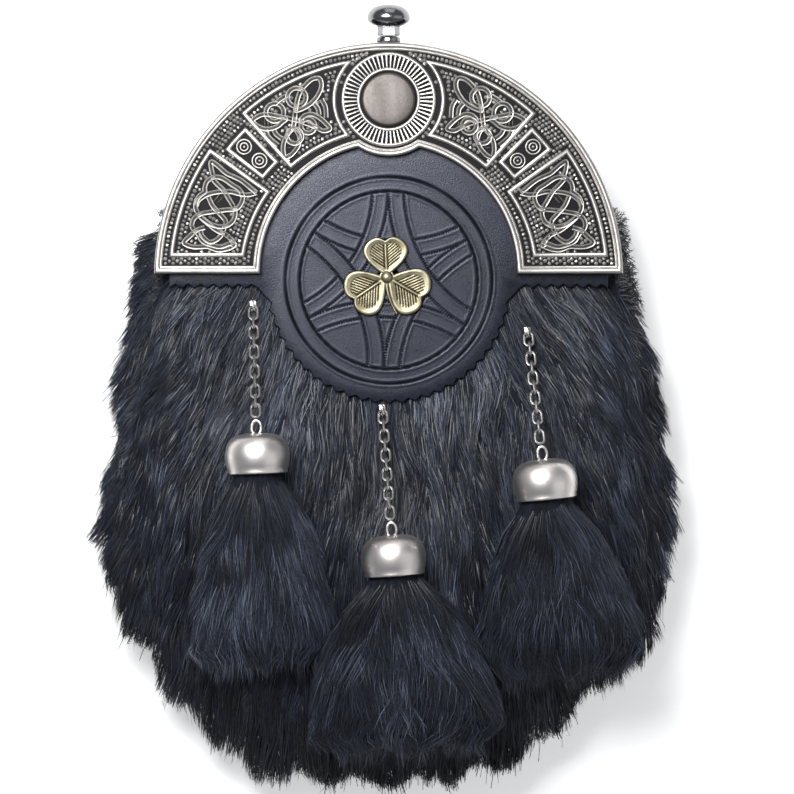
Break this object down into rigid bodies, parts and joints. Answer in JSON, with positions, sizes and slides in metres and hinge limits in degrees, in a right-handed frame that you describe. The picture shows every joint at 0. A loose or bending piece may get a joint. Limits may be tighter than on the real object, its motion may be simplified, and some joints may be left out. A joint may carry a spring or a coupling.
{
  "type": "sporran pouch",
  "caption": "Full dress sporran: a fur-fronted leather pouch with an arched knotwork metal cantle, a shamrock badge on a leather flap, and bells with fur tassels on chains.",
  "frame": {"origin": "below the middle of the whole sporran, on the surface that its back lies on", "axes": "+Y towards the knob at the top, +Z out of the front, +X to the right seen from the front"},
  "size_m": [0.1848, 0.2536, 0.0629],
  "materials": {
    "black_leather": "semi-gloss, fine grain",
    "navy_fur": "long soft fur",
    "antique_nickel": "antiqued, dark in the recesses",
    "satin_nickel": "satin",
    "dark_nickel": "polished dark nickel",
    "pale_brass": "antiqued satin"
  },
  "bodies": {
    "root": {"back_panel": "black_leather", "bell_centre": "satin_nickel", "bell_left": "satin_nickel", "bell_right": "satin_nickel", "belt_loop_left": "black_leather", "belt_loop_right": "black_leather", "cantle": "antique_nickel", "cantle_disc": "satin_nickel", "chain_staple_centre": "antique_nickel", "chain_staple_left": "antique_nickel", "chain_staple_right": "antique_nickel", "flap_stud": "satin_nickel", "front_flap": "black_leather", "fur_pelt": "navy_fur", "knob": "dark_nickel", "knob_collar": "dark_nickel", "link_centre_01": "antique_nickel", "link_centre_02": "antique_nickel", "link_centre_03": "antique_nickel", "link_centre_04": "antique_nickel", "link_centre_05": "antique_nickel", "link_centre_06": "antique_nickel", "link_centre_07": "antique_nickel", "link_centre_08": "antique_nickel", "link_centre_09": "antique_nickel", "link_centre_10": "antique_nickel", "link_centre_11": "antique_nickel", "link_left_01": "antique_nickel", "link_left_02": "antique_nickel", "link_left_03": "antique_nickel", "link_left_04": "antique_nickel", "link_left_05": "antique_nickel", "link_left_06": "antique_nickel", "link_left_07": "antique_nickel", "link_left_08": "antique_nickel", "link_left_09": "antique_nickel", "link_left_10": "antique_nickel", "link_left_11": "antique_nickel", "link_right_01": "antique_nickel", "link_right_02": "antique_nickel", "link_right_03": "antique_nickel", "link_right_04": "antique_nickel", "link_right_05": "antique_nickel", "link_right_06": "antique_nickel", "link_right_07": "antique_nickel", "link_right_08": "antique_nickel", "link_right_09": "antique_nickel", "link_right_10": "antique_nickel", "link_right_11": "antique_nickel", "pouch_front": "black_leather", "rear_flap": "black_leather", "shamrock": "pale_brass", "shamrock_bead": "pale_brass", "tassel_centre": "navy_fur", "tassel_left": "navy_fur", "tassel_right": "navy_fur"}
  },
  "joints": []
}
